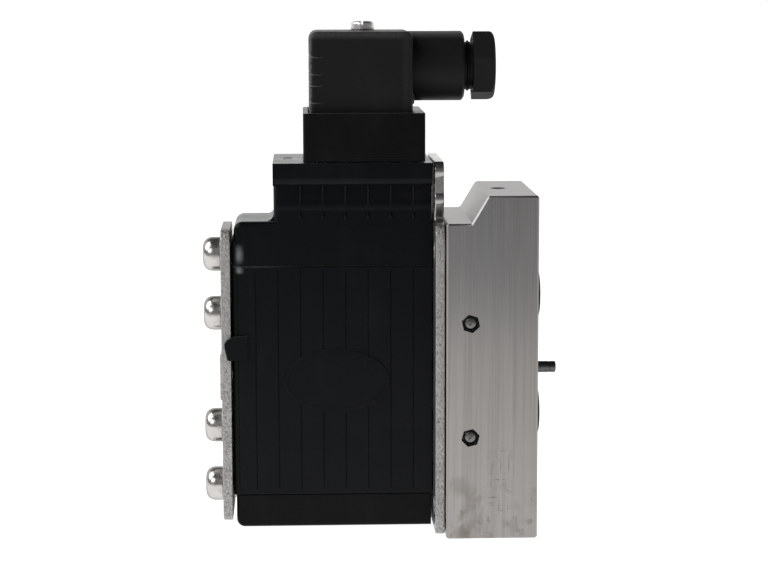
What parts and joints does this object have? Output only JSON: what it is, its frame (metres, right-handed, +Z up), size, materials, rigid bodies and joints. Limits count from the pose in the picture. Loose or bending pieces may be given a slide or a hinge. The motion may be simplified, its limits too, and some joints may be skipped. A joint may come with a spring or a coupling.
{
  "type": "solenoid directional valve",
  "caption": "Electrohydraulic pilot module of a directional valve: pilot solenoids and a sprung position transducer between yoke plates on a pilot block, with a right-angle cable plug.",
  "frame": {"origin": "middle of the pilot block's mounting face: X = 0 on the face, Y = 0 at half depth, Z = 0 at half the block's height", "axes": "+X leaves the mounting face towards the valve the module is bolted to, +Z up towards the plug, +Y away from the side with the raised oval facing the viewer"},
  "size_m": [0.0965, 0.044, 0.1374],
  "materials": {
    "block_aluminium": "machined, brushed along its height, light stains",
    "zinc_plate": "zinc plated sheet with sheared edges",
    "screw_steel": "bright zinc plated, cold-headed",
    "pin_steel": "ground steel",
    "spring_steel": "drawn wire",
    "housing_plastic": "glass-filled black plastic, satin with fine moulding grain",
    "plug_plastic": "black plastic, satin",
    "inner_plastic": "grey plastic",
    "coil_overmould": "resin overmould",
    "board": "green solder mask",
    "contact_brass": "tinned brass",
    "rubber": "black nitrile"
  },
  "bodies": {
    "module": {"pilot_block": "block_aluminium", "inner_yoke_plate": "zinc_plate", "outer_yoke_plate": "zinc_plate", "yoke_screw_1": "screw_steel", "yoke_screw_2": "screw_steel", "yoke_screw_3": "screw_steel", "yoke_screw_4": "screw_steel", "transducer_tube": "pin_steel", "core_tube_1": "pin_steel", "core_tube_2": "pin_steel", "core_tube_3": "pin_steel", "core_tube_4": "pin_steel", "expander_sleeve_upper": "pin_steel", "expander_sleeve_lower": "pin_steel", "expander_ball_upper": "pin_steel", "expander_ball_lower": "pin_steel", "gallery_plug": "pin_steel", "transducer_spring": "spring_steel", "return_spring_1": "spring_steel", "return_spring_2": "spring_steel", "return_spring_3": "spring_steel", "return_spring_4": "spring_steel", "housing_shell": "housing_plastic", "bottom_cap": "housing_plastic", "socket_collar": "housing_plastic", "transducer_coil": "coil_overmould", "pilot_coil_1": "coil_overmould", "pilot_coil_2": "coil_overmould", "pilot_coil_3": "coil_overmould", "pilot_coil_4": "coil_overmould", "circuit_board": "board", "contact_blade_1": "contact_brass", "contact_blade_2": "contact_brass", "contact_blade_3": "contact_brass", "earth_blade": "contact_brass", "port_seal_upper": "rubber", "port_seal_lower": "rubber", "transducer_seal": "rubber"},
    "armature_1": {"armature_1": "pin_steel"},
    "armature_2": {"armature_2": "pin_steel"},
    "armature_3": {"armature_3": "pin_steel"},
    "armature_4": {"armature_4": "pin_steel"},
    "transducer_pin": {"transducer_pin": "pin_steel"},
    "plug": {"plug_hood": "plug_plastic", "terminal_insert": "inner_plastic", "plug_gasket": "rubber", "cable_grommet": "rubber", "terminal_1": "contact_brass", "terminal_2": "contact_brass", "terminal_3": "contact_brass", "earth_terminal": "contact_brass"},
    "gland_washer": {"gland_washer": "inner_plastic"},
    "gland_nut": {"gland_nut": "plug_plastic"},
    "screw_washer": {"screw_washer": "rubber"},
    "centre_screw": {"centre_screw": "screw_steel"}
  },
  "joints": [
    {"name": "armature_1_stroke", "type": "slide", "parent": "module", "child": "armature_1", "axis": [1, 0, 0], "range_m": [-0.0008, 0], "stiffness_N_per_m": 400, "springref_m": 0.003, "deforming": ["return_spring_1"]},
    {"name": "armature_2_stroke", "type": "slide", "parent": "module", "child": "armature_2", "axis": [1, 0, 0], "range_m": [-0.0008, 0], "stiffness_N_per_m": 400, "springref_m": 0.003, "deforming": ["return_spring_2"]},
    {"name": "armature_3_stroke", "type": "slide", "parent": "module", "child": "armature_3", "axis": [1, 0, 0], "range_m": [-0.0008, 0], "stiffness_N_per_m": 400, "springref_m": 0.003, "deforming": ["return_spring_3"]},
    {"name": "armature_4_stroke", "type": "slide", "parent": "module", "child": "armature_4", "axis": [1, 0, 0], "range_m": [-0.0008, 0], "stiffness_N_per_m": 400, "springref_m": 0.003, "deforming": ["return_spring_4"]},
    {"name": "transducer_pin_travel", "type": "slide", "parent": "module", "child": "transducer_pin", "axis": [1, 0, 0], "range_m": [-0.0065, 0], "stiffness_N_per_m": 150, "springref_m": 0.01, "deforming": ["transducer_spring"]},
    {"name": "plug_lift", "type": "slide", "parent": "module", "child": "plug", "axis": [0, 0, 1], "range_m": [0, 0.03]},
    {"name": "gland_nut_travel", "type": "slide", "parent": "plug", "child": "gland_washer", "axis": [1, 0, 0], "range_m": [-0.002, 0.0022]},
    {"name": "gland_nut_turn", "type": "hinge", "parent": "gland_washer", "child": "gland_nut", "pos_m": [-0.0162, 0, 0.07927], "axis": [1, 0, 0], "range_deg": [-483, 531]},
    {"name": "centre_screw_travel", "type": "slide", "parent": "plug", "child": "screw_washer", "axis": [0, 0, 1], "range_m": [0, 0.006]},
    {"name": "centre_screw_turn", "type": "hinge", "parent": "screw_washer", "child": "centre_screw", "pos_m": [-0.0457, 0, 0.08797], "axis": [0, 0, 1], "range_deg": [0, 4330]}
  ],
  "couplings": [
    {"joint": "gland_nut_turn", "follows": "gland_nut_travel", "rad_per_m": 4188.8},
    {"joint": "centre_screw_turn", "follows": "centre_screw_travel", "rad_per_m": 12566}
  ]
}
